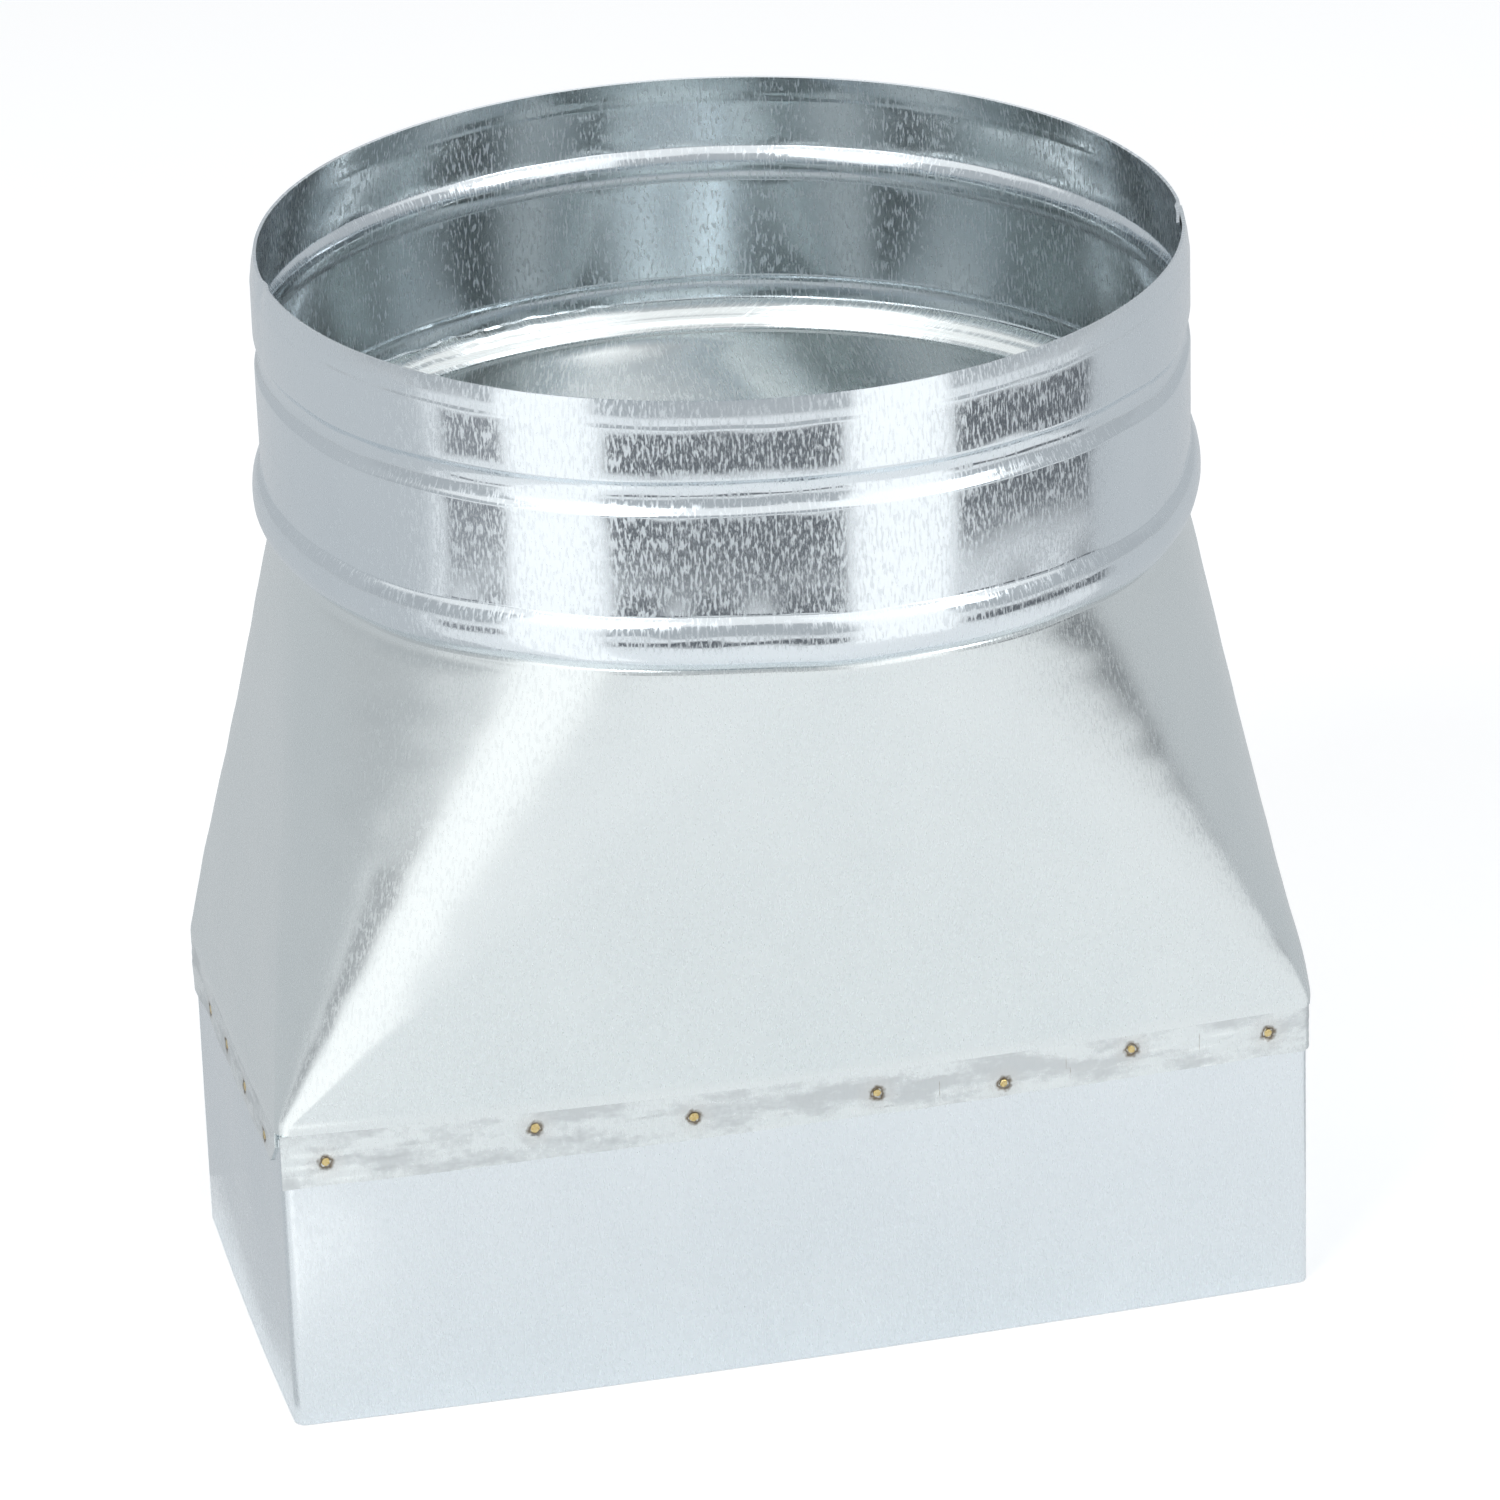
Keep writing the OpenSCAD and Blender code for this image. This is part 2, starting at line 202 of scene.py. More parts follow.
def stations(long_n, short_n, corner_n, order=(0, 1, 2, 3), last_corner=True):
    k, place, turn = [], [], []
    for wall in order:
        n = short_n if wall % 2 == 0 else long_n
        k += [wall] * (n + 1)
        place += list(np.linspace(-1, 1, n + 1))
        turn += [0.0] * (n + 1)
        if wall != order[-1] or last_corner:
            k += [wall] * (corner_n - 1)
            place += [1.0] * (corner_n - 1)
            turn += list(np.arange(1, corner_n) / corner_n)
    return np.array(k), np.array(place), np.array(turn)


def run_length(flat, wrap):
    steps = np.linalg.norm(np.diff(flat, axis=0), axis=1)
    length = np.concatenate([[0.0], np.cumsum(steps)])
    if wrap:
        length = np.append(length, length[-1] + np.linalg.norm(flat[0] - flat[-1]))
    return length


def fold_height(flat):
    v = 2 * flat[..., 0] / SLEEVE_W
    return FOLD_Z + FOLD_RISE * (1 - v) / 2 - FOLD_SAG * np.clip(1 - v * v, 0, 1)


# How far the hand-rolled beads run out of true, by direction: [degrees, millimetres]
BEAD_SWAY = [(-180, -0.6), (-166, -1.0), (-158, -1.4), (-130, -0.6), (-100, 0.0), (-70, -0.7), (-49, -1.5),
             (-33, -2.9), (-18, -1.2), (-5, 0.0), (150, 0.0), (180, -0.6)]
LOCK_SWAY = [(-180, -0.3), (-158, -1.0), (-148, -1.3), (-125, 0.0), (-102, 0.6), (-85, -0.6), (-60, -1.8),
             (-42, -2.8), (-33, -2.2), (-20, -0.8), (-5, 0.0), (150, 0.0), (180, -0.3)]


def turned(degrees):
    return (np.asarray(degrees) + 180.0) % 360.0 - 180.0


def sway(degrees, z):
    bead, lock = along(turned(degrees), BEAD_SWAY), along(turned(degrees), LOCK_SWAY)
    low = lock + (bead - lock) * np.clip((z - 175.0) / (BEAD_Z - 3 - 175.0), 0, 1)
    return low * (1 - ease((z - 202.0) / 10.0))


# Round collar: one rolled strip with a sunk bead, a lock bead and its ends lapped

def bead_radius(w, h):
    return (w * w / 4 + h * h) / (2 * h)


LOCK_R = bead_radius(LOCK_W, LOCK_PROUD)
LOCK_C = np.array([WALL_R + LOCK_PROUD - LOCK_R, COLLAR_Z + LOCK_W / 2])


def collar_path():
    """Mid-sheet points [radius, height] from the curled lower edge to the rim, softened and resampled."""
    top = math.degrees(math.asin(LOCK_W / (2 * LOCK_R)))
    end = -math.degrees(math.acos((NECK_R + GAP + SHEET / 2 - LOCK_C[0]) / LOCK_R))
    lock = LOCK_C + polar(LOCK_R, np.linspace(end, top, 60))
    s = np.clip((lock[:, 1] - LOCK_C[1]) / (LOCK_W / 2), -1, 1)
    lock[:, 0] += 0.8 * s * s * (1 - s * s) - 0.14 * s * (1 - s * s)
    r = bead_radius(BEAD_W, BEAD_DEPTH)
    half = math.asin(BEAD_W / (2 * r))
    b = np.linspace(-half, half, 50)
    bead = np.stack([WALL_R - (BEAD_DEPTH - r + r * np.cos(b)), BEAD_Z + r * np.sin(b)], -1)
    t = np.linspace(0, 1, 14)
    step_top = RIM_Z - RIM_BAND
    step = np.stack([WALL_R - RIM_DRAW * 0.22 * ease(t), step_top - RIM_STEP * 0.6 * (1 - t)], -1)
    band = np.stack([WALL_R - RIM_DRAW * (0.22 + 0.78 * t * t * (1.6 - 0.6 * t)), step_top + RIM_BAND * t], -1)
    path = np.concatenate([lock, bead, step, band[1:]])
    dense = np.linspace(0, 1, 900)
    length = run_length(path, False)
    fine = np.stack([np.interp(dense * length[-1], length, path[:, c]) for c in (0, 1)], -1)
    reach = 8
    kernel = bell(np.arange(-reach, reach + 1) * 1.0, 6.0)
    kernel /= kernel.sum()
    padded = np.concatenate([2 * fine[0] - fine[reach:0:-1], fine, 2 * fine[-1] - fine[-2:-reach - 2:-1]])
    soft = np.stack([np.convolve(padded[:, c], kernel, "valid") for c in (0, 1)], -1)
    soft[0], soft[-1] = fine[0], fine[-1]
    way = np.gradient(soft, axis=0)
    bend = np.abs(np.gradient(np.unwrap(np.arctan2(way[:, 1], way[:, 0]))))
    weight = np.cumsum(0.12 + 9.0 * bend / (bend.max() + 1e-9) + 0.6 * (bend > 0.004))
    pick = np.interp(np.linspace(weight[0], weight[-1], 84), weight, np.arange(len(soft)))
    return np.stack([np.interp(pick, np.arange(len(soft)), soft[:, c]) for c in (0, 1)], -1)


def path_sides(path, thickness=SHEET):
    way = np.gradient(path, axis=0)
    way /= np.linalg.norm(way, axis=1)[:, None]
    normal = np.stack([way[:, 1], -way[:, 0]], -1)
    return path + normal * thickness / 2, path - normal * thickness / 2


def collar_surface(side, degrees):
    r, z = side[:, 0][:, None], side[:, 1][:, None]
    start = degrees - LAP_START
    inner_layer = 1 - ease((start - LAP_SPAN) / 2.0)
    shift = -(SHEET + 0.12) * inner_layer
    lifted = bell(start, 3.0) * bell(z - RIM_Z, 9.0)
    shift = shift - 0.35 * lifted
    a = np.radians(degrees)
    shift = shift + 0.10 * ripple(a, z / 40.0, 7, 2, 6, 5) + 0.02 * ripple(a, z / 9.0, 9, 18, 46, 8)
    kink = bell(turned(degrees - 181.0), 1.3) * np.exp(-np.clip(RIM_Z - z, 0, 99) / 5.0)
    shift = shift - 0.55 * kink
    z = z + sway(degrees, z) + 0 * degrees
    flat = polar(r + shift, degrees + 0 * z)
    return np.concatenate([flat, z[..., None]], -1)


def make_collar(material):
    degrees = np.concatenate([np.linspace(LAP_START, LAP_START + 9, 22),
                              np.linspace(LAP_START + 9.7, LAP_START + 359, 478),
                              np.linspace(LAP_START + 359.6, LAP_START + 360 + LAP_SPAN, 12)])[None, :]
    path = collar_path()
    outside, inside = path_sides(path)
    v = run_length(path, False) + 60.0
    u = np.radians(degrees[0]) * WALL_R
    piece = SheetPiece()
    piece.add(collar_surface(outside, degrees), collar_surface(inside, degrees), u, v)
    return piece.build("collar_rolled", material, "zinc_collar", "round_collar")


# Body: faces and cones that run from the folded skirt to the neck inside the collar

def body_rows(k, place, turn, out, radius):
    flat = outline(k, place, turn, out)
    angle = circle_angle(k, place, turn)
    ring = polar(radius, angle)
    fold = fold_height(flat)
    top = NECK_Z + along(turned(angle), LOCK_SWAY)

    def line(u):
        z = fold + (top - fold) * u
        return np.concatenate([flat * (1 - u) + ring * u, z[:, None]], -1)

    def below(down):
        return np.concatenate([flat, (fold - down)[:, None]], -1)

    def curve(p, c, q, t):
        return (1 - t) ** 2 * p + 2 * t * (1 - t) * c + t * t * q

    u0, u1 = FOLD_ROUND / BODY_H, 1 - NECK_ROUND / BODY_H
    neck = np.concatenate([ring, top[:, None]], -1)
    rows = [below(2.0), below(1.55)]
    rows += [curve(below(FOLD_ROUND), line(0), line(u0), t) for t in np.linspace(0, 1, 7)]
    rows += [line(u) for u in np.linspace(u0, u1, 44)[1:]]
    knee = line(1 - 0.42 * NECK_ROUND / BODY_H) * 0.5 + (neck - [0, 0, 0.42 * NECK_ROUND]) * 0.5
    rows += [curve(line(u1), knee, neck, t) for t in np.linspace(0, 1, 7)[1:]]
    return np.array(rows), angle, top


def neck_rows(angle, top, side):
    """Upright neck, inward rib and the lip that lies inside the lock bead."""
    mid = NECK_R - SHEET / 2
    lip_r = LOCK_R - SHEET - GAP
    low = -math.degrees(math.acos((mid - LOCK_C[0]) / lip_r))
    rib_h = LOCK_C[1] + lip_r * math.sin(math.radians(low)) - NECK_Z - 0.06
    t = np.linspace(0, 1, 9)[1:]
    rib = np.stack([mid - 0.175 * (1 - np.cos(2 * np.pi * t)), NECK_Z + 0.03 + rib_h * t], -1)
    lip = LOCK_C + polar(lip_r, np.linspace(low, -8, 14)[1:])
    path = np.concatenate([[[mid, NECK_Z]], rib, lip])
    outside, inside = path_sides(path)
    chosen = outside if side > 0 else inside
    rows = []
    for r, z in chosen[1:]:
        share = ease((z - NECK_Z - 1.0) / 5.0)
        rough = ripple(np.radians(angle), z / 3.0, 12, 30, 90, 21) * ease((angle - 80) / 25) * (1 - ease((angle - 170) / 25))
        crease = 0.22 * bell(z - 166.4, 0.5)
        radius = r + share * 0.10 * rough - crease
        height = z + (top - NECK_Z) + share * 0.35 * rough
        rows.append(np.concatenate([polar(radius, angle), height[:, None]], -1))
    return np.array(rows)


def body_unevenness(points, angle):
    """Distance each outer point of the body moves outward, in millimetres."""
    z = points[..., 2]
    a = np.radians(angle)[None, :]
    free = ease((z - FOLD_Z - 1.0) / 16.0) * (1 - ease((z - NECK_Z + 14.0) / 12.0))
    moved = 0.22 * free * ripple(a, z / 55.0, 9, 2, 5, 31)
    moved = moved + 0.06 * free * ripple(a, z / 22.0, 9, 8, 16, 33)
    right_front = bell(points[..., 0] - 101.0, 9.0) * bell(points[..., 1] + 45.0, 16.0)
    return moved + 0.8 * right_front * bell(z - FOLD_Z - 8.0, 9.0)


def make_body(material):
    piece = SheetPiece()
    k, place, turn = stations(60, 28, 64)
    start = int(np.argmax((k == 1) & (place == 0) & (turn == 0)))
    k, place, turn = (np.roll(values, -start) for values in (k, place, turn))
    outer, angle, top = body_rows(k, place, turn, SKIN_OUT, NECK_R)
    inner, _, _ = body_rows(k, place, turn, GAP, NECK_R - SHEET)
    push = body_unevenness(outer, angle)[..., None]
    way = np.cross(np.gradient(outer, axis=1), np.gradient(outer, axis=0))
    way /= np.linalg.norm(way, axis=2)[..., None] + 1e-9
    outer, inner = outer + way * push, inner + way * push
    outer = np.concatenate([outer, neck_rows(angle, top, 1)])
    inner = np.concatenate([inner, neck_rows(angle, top, -1)])
    front = int(np.argmax((k == 3) & (place == 0) & (turn == 0)))
    u = np.array([run_length(row[:, :2], True) for row in outer])
    u = u - u[:, front:front + 1]
    v = run_length(outer[:, front], False) + 60.0
    piece.add(outer, inner, u, v, wrap=True, skirt=np.zeros(outer.shape[:2]))
    add_skirt(piece)
    add_body_lap(piece)
    return piece.build("square_to_round_body", material, "zinc_body", "transition")


# Weld marks: [wall, place along it, height]

SLIP = [0, 9.4, 9.2, 14.3, 8.5, 3.2, 0]
HOP = [0, 1.7, -0.3, -0.5, -2.3, 1, 0]
SIDE_HOP = [0.4, 1.7, 1.6, 0.3]


def weld_spots():
    spots = []
    row = SLEEVE_H + WELD_UP
    for k in (3, 1, 2, 0):
        _, half, _ = wall_values(k)
        if k % 2:
            a = -1 + (8.5 - CORNER_R) / half
            for i in range(7):
                spots.append((k, a - 2 * a * i / 6 + SLIP[i] / half, row + HOP[i]))
        else:
            a, b = -1 + (23.5 - CORNER_R) / half, 1 - (13.5 - CORNER_R) / half
            for i in range(4):
                spots.append((k, a + (b - a) * i / 3, row + SIDE_HOP[i]))
    return spots


SPOTS = weld_spots()


def add_skirt(piece):
    """The folded strip that is welded round the sleeve, open at the relief cut in the front left corner."""
    k, place, turn = stations(250, 110, 12, (3, 0, 1, 2), last_corner=False)
    tab = 1 + (CORNER_R + GAP) / wall_values(3)[1]
    k = np.concatenate([[3, 3, 3], k])
    place = np.concatenate([[-tab, -(1 + tab * 2) / 3, -(2 + tab) / 3], place])
    turn = np.concatenate([[0, 0, 0], turn])
    flat_out, flat_in = outline(k, place, turn, SKIN_OUT), outline(k, place, turn, GAP)
    length = run_length(flat_out, False)
    _, half, _ = wall_values(k)
    left = k == 2
    low = SLEEVE_H + np.where(left, LEFT_CUT * ease((place + 1) * 2.5), 0.0)
    to_end = np.where(left, (1 - place) * half, 99.0)
    low = low + BEVEL * np.clip(1 - to_end / BEVEL, 0, 1)
    wave = ripple(length / length[-1] * 2 * np.pi, 0.0, 10, 6, 40, 41)
    low = low + 0.10 * wave
    high = fold_height(flat_out) - 2.0
    share = np.linspace(0, 1, 20)[:, None]
    z = low[None, :] * (1 - share) + high[None, :] * share
    s = length[None, :] + 0 * z
    round_way = 2 * np.pi * s / length[-1]
    push = 0.10 * ripple(round_way, z / 10.0, 10, 8, 34, 43) * ease((high[None, :] - z) / 4.0)
    near = np.full(z.shape + (3,), 99.0)
    best = np.full(z.shape, 1e9)
    for number, (wk, wp, wz) in enumerate(SPOTS):
        along_wall = np.where((k == wk) & (turn == 0), (place - wp) * half, 1e3)[None, :] + 0 * z
        distance = np.hypot(along_wall, z - wz)
        closer = distance < best
        best = np.where(closer, distance, best)
        near[..., 0] = np.where(closer, along_wall, near[..., 0])
        near[..., 1] = np.where(closer, z - wz, near[..., 1])
        near[..., 2] = np.where(closer, float(number), near[..., 2])
    near = np.where((best < 14.0)[..., None], near, 99.0)
    push = push - 0.12 * bell(best, 5.0) - WELD_DEEP * (1 - ease((best - 0.7) / 0.8)) + 0.05 * bell(best - 1.9, 0.6)
    way = np.concatenate([flat_out - flat_in, np.zeros((len(k), 1))], -1) / SHEET
    outer = np.concatenate([flat_out[None] + 0 * z[..., None], z[..., None]], -1)
    inner = np.concatenate([flat_in[None] + 0 * z[..., None], z[..., None]], -1)
    outer = outer + way[None] * push[..., None]
    piece.add(outer, inner, length + 700.0, share[:, 0] * 9.0 + 45.0, near=near, skirt=np.ones(z.shape))


def add_body_lap(piece):
    """The lap that closes the body, a strip that stands proud on the right face."""
    y = np.linspace(-6, 6, 9)
    _, half, _ = wall_values(0)
    rows = np.linspace(0.045, 0.955, 40)
    k, turn = np.zeros(len(y), int), np.zeros(len(y))
    flat = outline(k, y / half, turn, SKIN_OUT)
    ring = np.stack([np.full(len(y), NECK_R), y], -1)
    fold = fold_height(flat)
    outer = []
    for u in rows:
        z = fold + (NECK_Z - fold) * u
        outer.append(np.concatenate([flat * (1 - u) + ring * u, z[:, None]], -1))
    outer = np.array(outer) + [0.32, 0, 0.04]
    piece.add(outer, outer - [0.6, 0, 0], y + 900.0, rows * 100.0, skirt=np.zeros(outer.shape[:2]))


# Sleeve: a folded strip whose ends are lapped on the back wall

def make_sleeve(material):
    half = float(wall_values(1)[1])
    k, place, turn, inset = [], [], [], []

    def run(wall, places, turns, drop):
        n = len(places)
        k.extend([wall] * n)
        place.extend(places)
        turn.extend(turns)
        inset.extend(drop)

    def flat_run(wall, a, b, n, drop_a=0.0, drop_b=0.0):
        run(wall, np.linspace(a, b, n), [0.0] * n, np.linspace(drop_a, drop_b, n))

    def bend(wall):
        run(wall, [1.0] * 11, np.arange(1, 12) / 12.0, [0.0] * 11)

    under = SHEET + GAP
    flat_run(1, -6 / half, 1, 50)
    bend(1)
    flat_run(2, -1, 1, 44)
    bend(2)
    flat_run(3, -1, 1, 90)
    bend(3)
    flat_run(0, -1, 1, 44)
    bend(0)
    flat_run(1, -1, -9 / half, 44)
    flat_run(1, -8.6 / half, -6.4 / half, 6, 0.08, under - 0.08)
    flat_run(1, -6 / half, 6 / half, 6, under, under)
    k, place, turn, inset = map(np.array, (k, place, turn, inset))
    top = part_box("rectangular_sleeve")[1].z / MM
    z = np.concatenate([np.linspace(0, 52, 30), np.linspace(53, top, 5)])[:, None]
    flat = outline(k, place, turn, 0.0)
    normal = outline(k, place, turn, 1.0) - flat
    length = run_length(flat, False)
    s = 2 * np.pi * length[None, :] / length[-1]
    push = 0.14 * ripple(s, z / 40.0, 9, 3, 9, 61) + 0.05 * ripple(s, z / 18.0, 8, 10, 22, 63)
    calm = np.where(turn > 0, 0.15, ease((1 - np.abs(place)) * 9) * 0.85 + 0.15)
    push = push * calm[None, :] * ease(z / 10.0 + 0.25) - inset[None, :]
    outer = flat[None] + normal[None] * push[..., None]
    inner = flat[None] + normal[None] * (push[..., None] - SHEET)
    tall = z + 0 * push
    piece = SheetPiece()
    piece.add(np.concatenate([outer, tall[..., None]], -1), np.concatenate([inner, tall[..., None]], -1),
              length + 1500.0, z[:, 0])
    return piece.build("folded_sleeve", material, "zinc_sleeve", "rectangular_sleeve")


# Weld marks: thin dished skins in the dimples

def make_welds(material):
    piece = SheetPiece()
    for number, (k, place, z) in enumerate(SPOTS):
        chance = np.random.default_rng(100 + number)
        centre = outline(np.array([k]), np.array([place]), np.array([0.0]), SKIN_OUT)[0]
        out, side = polar(1.0, 90.0 * k), polar(1.0, 90.0 * k + 90)
        turn = np.linspace(0, 2 * np.pi, 29)[:-1]
        uneven = 1 + 0.05 * np.sin(2 * turn + chance.uniform(0, 6)) + 0.04 * np.sin(5 * turn + chance.uniform(0, 6))
        rings = np.array([0.02, 0.3, 0.55, 0.8, 0.92, 1.0])
        raised = np.array([-0.15, -0.14, -0.12, -0.09, -0.11, -0.17]) + 0.0
        r = rings[:, None] * uneven[None, :] * chance.uniform(0.72, 0.95)
        a, b = r * np.cos(turn)[None, :], r * np.sin(turn)[None, :]
        depth = raised[:, None] + 0.02 * chance.standard_normal((len(rings), 1)) + 0 * a
        flat = centre + out * depth[..., None] + side * a[..., None]
        outer = np.concatenate([flat, (z + b)[..., None]], -1)
        back = np.concatenate([centre + out * (-0.24) + side * a[..., None], (z + b)[..., None]], -1)
        piece.add(outer, back, np.linspace(0, 9, 29), rings + number, wrap=True)
    return piece.build("weld_skins", material, "copper_marks", "weld_marks")


# Materials. Each one is worked out from the sheet's own coordinates, in metres.

class Paint:
    def __init__(self, name):
        self.material = bpy.data.materials.new(name)
        self.material.use_nodes = True
        self.tree = self.material.node_tree
        self.nodes, self.links = self.tree.nodes, self.tree.links
        self.shader = self.nodes["Principled BSDF"]

    def node(self, kind, inputs=None, **settings):
        n = self.nodes.new(kind)
        for key, value in settings.items():
            setattr(n, key, value)
        for key, value in (inputs or {}).items():
            self.feed(n.inputs[key], value)
        return n

    def feed(self, socket, value):
        if isinstance(value, bpy.types.NodeSocket):
            self.links.new(value, socket)
        else:
            socket.default_value = value

    def math(self, operation, a, b=0.0, c=0.0, clamp=False):
        n = self.node("ShaderNodeMath", operation=operation, use_clamp=clamp)
        for socket, value in zip(n.inputs, (a, b, c)):
            self.feed(socket, value)
        return n.outputs[0]

    def spread(self, value, low, high, to_low, to_high):
        n = self.node("ShaderNodeMapRange", {"Value": value, "From Min": low, "From Max": high,
                                             "To Min": to_low, "To Max": to_high}, clamp=True)
        return n.outputs["Result"]

    def noise(self, where, scale, detail=2.0, rough=0.5, **inputs):
        given = {"Vector": where, "Scale": scale, "Detail": detail, "Roughness": rough}
        given.update(inputs)
        return self.node("ShaderNodeTexNoise", given).outputs["Fac"]

    def sheet(self, stretch_u, stretch_v):
        uv = self.node("ShaderNodeUVMap", uv_map="sheet").outputs["UV"]
        mapping = self.node("ShaderNodeMapping", {"Vector": uv, "Scale": (stretch_u, stretch_v, 1.0)})
        return mapping.outputs["Vector"]

    def mix(self, share, a, b):
        n = self.node("ShaderNodeMix", data_type="RGBA")
        self.feed(n.inputs["Factor"], share)
        self.feed(n.inputs["A"], a)
        self.feed(n.inputs["B"], b)
        return n.outputs["Result"]


def zinc(name, pale, dull, smooth, rough, speck, grain):
    """Hot-dipped sheet: upright rolling streaks that scatter more light than the smooth metal between them."""
    p = Paint(name)
    streak = p.noise(p.sheet(1900.0, 420.0), 1.0, 2.0, 0.55)
    speckle = p.noise(p.sheet(2600.0, 1100.0), 1.0, 2.0, 0.6)
    cloud = p.noise(p.sheet(38.0, 24.0), 1.0, 4.0, 0.55)
    wide = p.noise(p.sheet(11.0, 8.0), 1.0, 2.0, 0.5)
    fine = p.math("MULTIPLY_ADD", p.spread(streak, 0.48, 0.62, 0.0, 1.0), 0.7,
                  p.math("MULTIPLY", p.spread(speckle, 0.50, 0.64, 0.0, 1.0), 0.3))
    patch = p.spread(cloud, 0.35, 0.68, 0.0, 1.0)
    shade = p.math("MULTIPLY_ADD", patch, 0.45, p.math("MULTIPLY", fine, 0.12), clamp=True)
    colour = p.mix(shade, pale + (1.0,), dull + (1.0,))
    strength = p.math("MULTIPLY", fine, p.spread(cloud, 0.3, 0.7, 0.7 * speck, 1.3 * speck))
    level = p.math("ADD", strength, p.spread(wide, 0.3, 0.7, smooth, rough), clamp=True)
    p.parts = {"colour": colour, "level": level, "relief": streak, "cloud": cloud, "fine": fine}
    p.shader.inputs["Metallic"].default_value = 1.0
    p.grain = grain
    return p


def finish_zinc(p):
    bump = p.node("ShaderNodeBump", {"Strength": 1.0, "Distance": p.grain, "Height": p.parts["relief"]})
    p.feed(p.shader.inputs["Base Color"], p.parts["colour"])
    p.feed(p.shader.inputs["Roughness"], p.parts["level"])
    p.feed(p.shader.inputs["Normal"], bump.outputs["Normal"])
    return p.material


def collar_zinc():
    p = zinc("zinc_collar_rolled", (0.77, 0.825, 0.86), (0.70, 0.755, 0.795), 0.09, 0.12, 0.30, 0.000003)
    return finish_zinc(p)


def body_zinc():
    p = zinc("zinc_body_pressed", (0.785, 0.83, 0.835), (0.73, 0.78, 0.79), 0.17, 0.22, 0.16, 0.000003)
    near = p.node("ShaderNodeAttribute", attribute_name="near").outputs["Vector"]
    split = p.node("ShaderNodeSeparateXYZ", {"Vector": near})
    flat = p.node("ShaderNodeCombineXYZ", {"X": split.outputs["X"], "Y": split.outputs["Y"]}).outputs["Vector"]
    distance = p.node("ShaderNodeVectorMath", {0: flat}, operation="LENGTH").outputs["Value"]
    ragged = p.noise(p.sheet(900.0, 900.0), 1.0, 3.0, 0.6)
    ragged_distance = p.math("MULTIPLY_ADD", p.math("SUBTRACT", ragged, 0.5), 1.8, distance)
    # Painted shade: a dark brown ring on the wall of each weld dimple, where the dent's own shade falls
    painted_dimple_shade = p.math("MULTIPLY", p.spread(ragged_distance, 0.7, 1.0, 0.0, 1.0), p.spread(ragged_distance, 1.15, 1.9, 1.0, 0.0))
    # Painted shade: darker grey fading out over about 4.5 mm round each weld, where the sheet is pulled in
    painted_dent_shade = p.spread(ragged_distance, 1.4, 4.5, 0.6, 0.0)
    skirt = p.node("ShaderNodeAttribute", attribute_name="skirt").outputs["Fac"]
    on_skirt = p.math("MULTIPLY", p.spread(skirt, 0.4, 0.6, 0.0, 1.0), p.spread(skirt, 2.0, 3.0, 1.0, 0.0))
    smear = p.noise(p.sheet(60.0, 190.0), 1.0, 5.0, 0.62)
    mottle = p.noise(p.sheet(650.0, 650.0), 1.0, 3.0, 0.6)
    smear = p.math("MULTIPLY_ADD", p.math("SUBTRACT", mottle, 0.5), 0.28, smear)
    smear = p.math("MULTIPLY", p.spread(smear, 0.44, 0.60, 0.0, 1.0), on_skirt)
    colour = p.mix(p.math("MULTIPLY", smear, 0.55), p.parts["colour"], (0.50, 0.525, 0.54, 1.0))
    # Painted shade: darker grey round each weld dent
    colour = p.mix(painted_dent_shade, colour, (0.66, 0.67, 0.66, 1.0))
    # Painted shade: the dark brown ring laid over each weld dimple's wall
    colour = p.mix(painted_dimple_shade, colour, (0.20, 0.17, 0.13, 1.0))
    level = p.math("MULTIPLY_ADD", smear, 0.16, p.parts["level"])
    level = p.math("MAXIMUM", level, p.math("MULTIPLY", painted_dimple_shade, 0.5))
    p.parts["colour"], p.parts["level"] = colour, level
    return finish_zinc(p)


def sleeve_zinc():
    p = zinc("zinc_sleeve_folded", (0.775, 0.825, 0.855), (0.72, 0.775, 0.81), 0.20, 0.26, 0.12, 0.000003)
    return finish_zinc(p)


def copper():
    p = Paint("copper_weld_skin")
    grainy = p.noise(p.sheet(900.0, 1500.0), 1.0, 4.0, 0.6)
    colour = p.mix(p.spread(grainy, 0.38, 0.62, 0.0, 1.0), (0.62, 0.45, 0.16, 1.0), (0.78, 0.66, 0.38, 1.0))
    bump = p.node("ShaderNodeBump", {"Strength": 1.0, "Distance": 0.00004, "Height": grainy})
    p.feed(p.shader.inputs["Base Color"], colour)
    p.feed(p.shader.inputs["Roughness"], p.spread(grainy, 0.3, 0.7, 0.3, 0.5))
    p.feed(p.shader.inputs["Normal"], bump.outputs["Normal"])
    p.shader.inputs["Metallic"].default_value = 1.0
    return p.material


make_collar(collar_zinc())
make_body(body_zinc())
make_sleeve(sleeve_zinc())
make_welds(copper())


# Camera at the photograph's angle

def make_camera():
    yaw, pitch, roll = 0.2294, 0.41616, -0.03176
    forward = Vector((math.sin(yaw) * math.cos(pitch), math.cos(yaw) * math.cos(pitch), -math.sin(pitch)))
    right = Vector((math.cos(yaw), -math.sin(yaw), 0.0))
    up = right.cross(forward)
    right, up = math.cos(roll) * right + math.sin(roll) * up, -math.sin(roll) * right + math.cos(roll) * up
    data = bpy.data.cameras.new("camera")
    data.sensor_width = 36.0
    data.lens = 7907.17 / 1500 * 36.0
    data.shift_x = (750 - 764.94) / 1500
    data.shift_y = (718.07 - 750) / 1500
    camera = bpy.data.objects.new("camera", data)
    camera.matrix_world = Matrix((
        (right.x, up.x, -forward.x, -0.314606),
        (right.y, up.y, -forward.y, -1.373026),
        (right.z, up.z, -forward.z, 0.738104),
        (0, 0, 0, 1)))
    bpy.context.scene.collection.objects.link(camera)
    bpy.context.scene.camera = camera


# Studio: a pale floor, three soft lamps, and cards that only the metal's reflections show

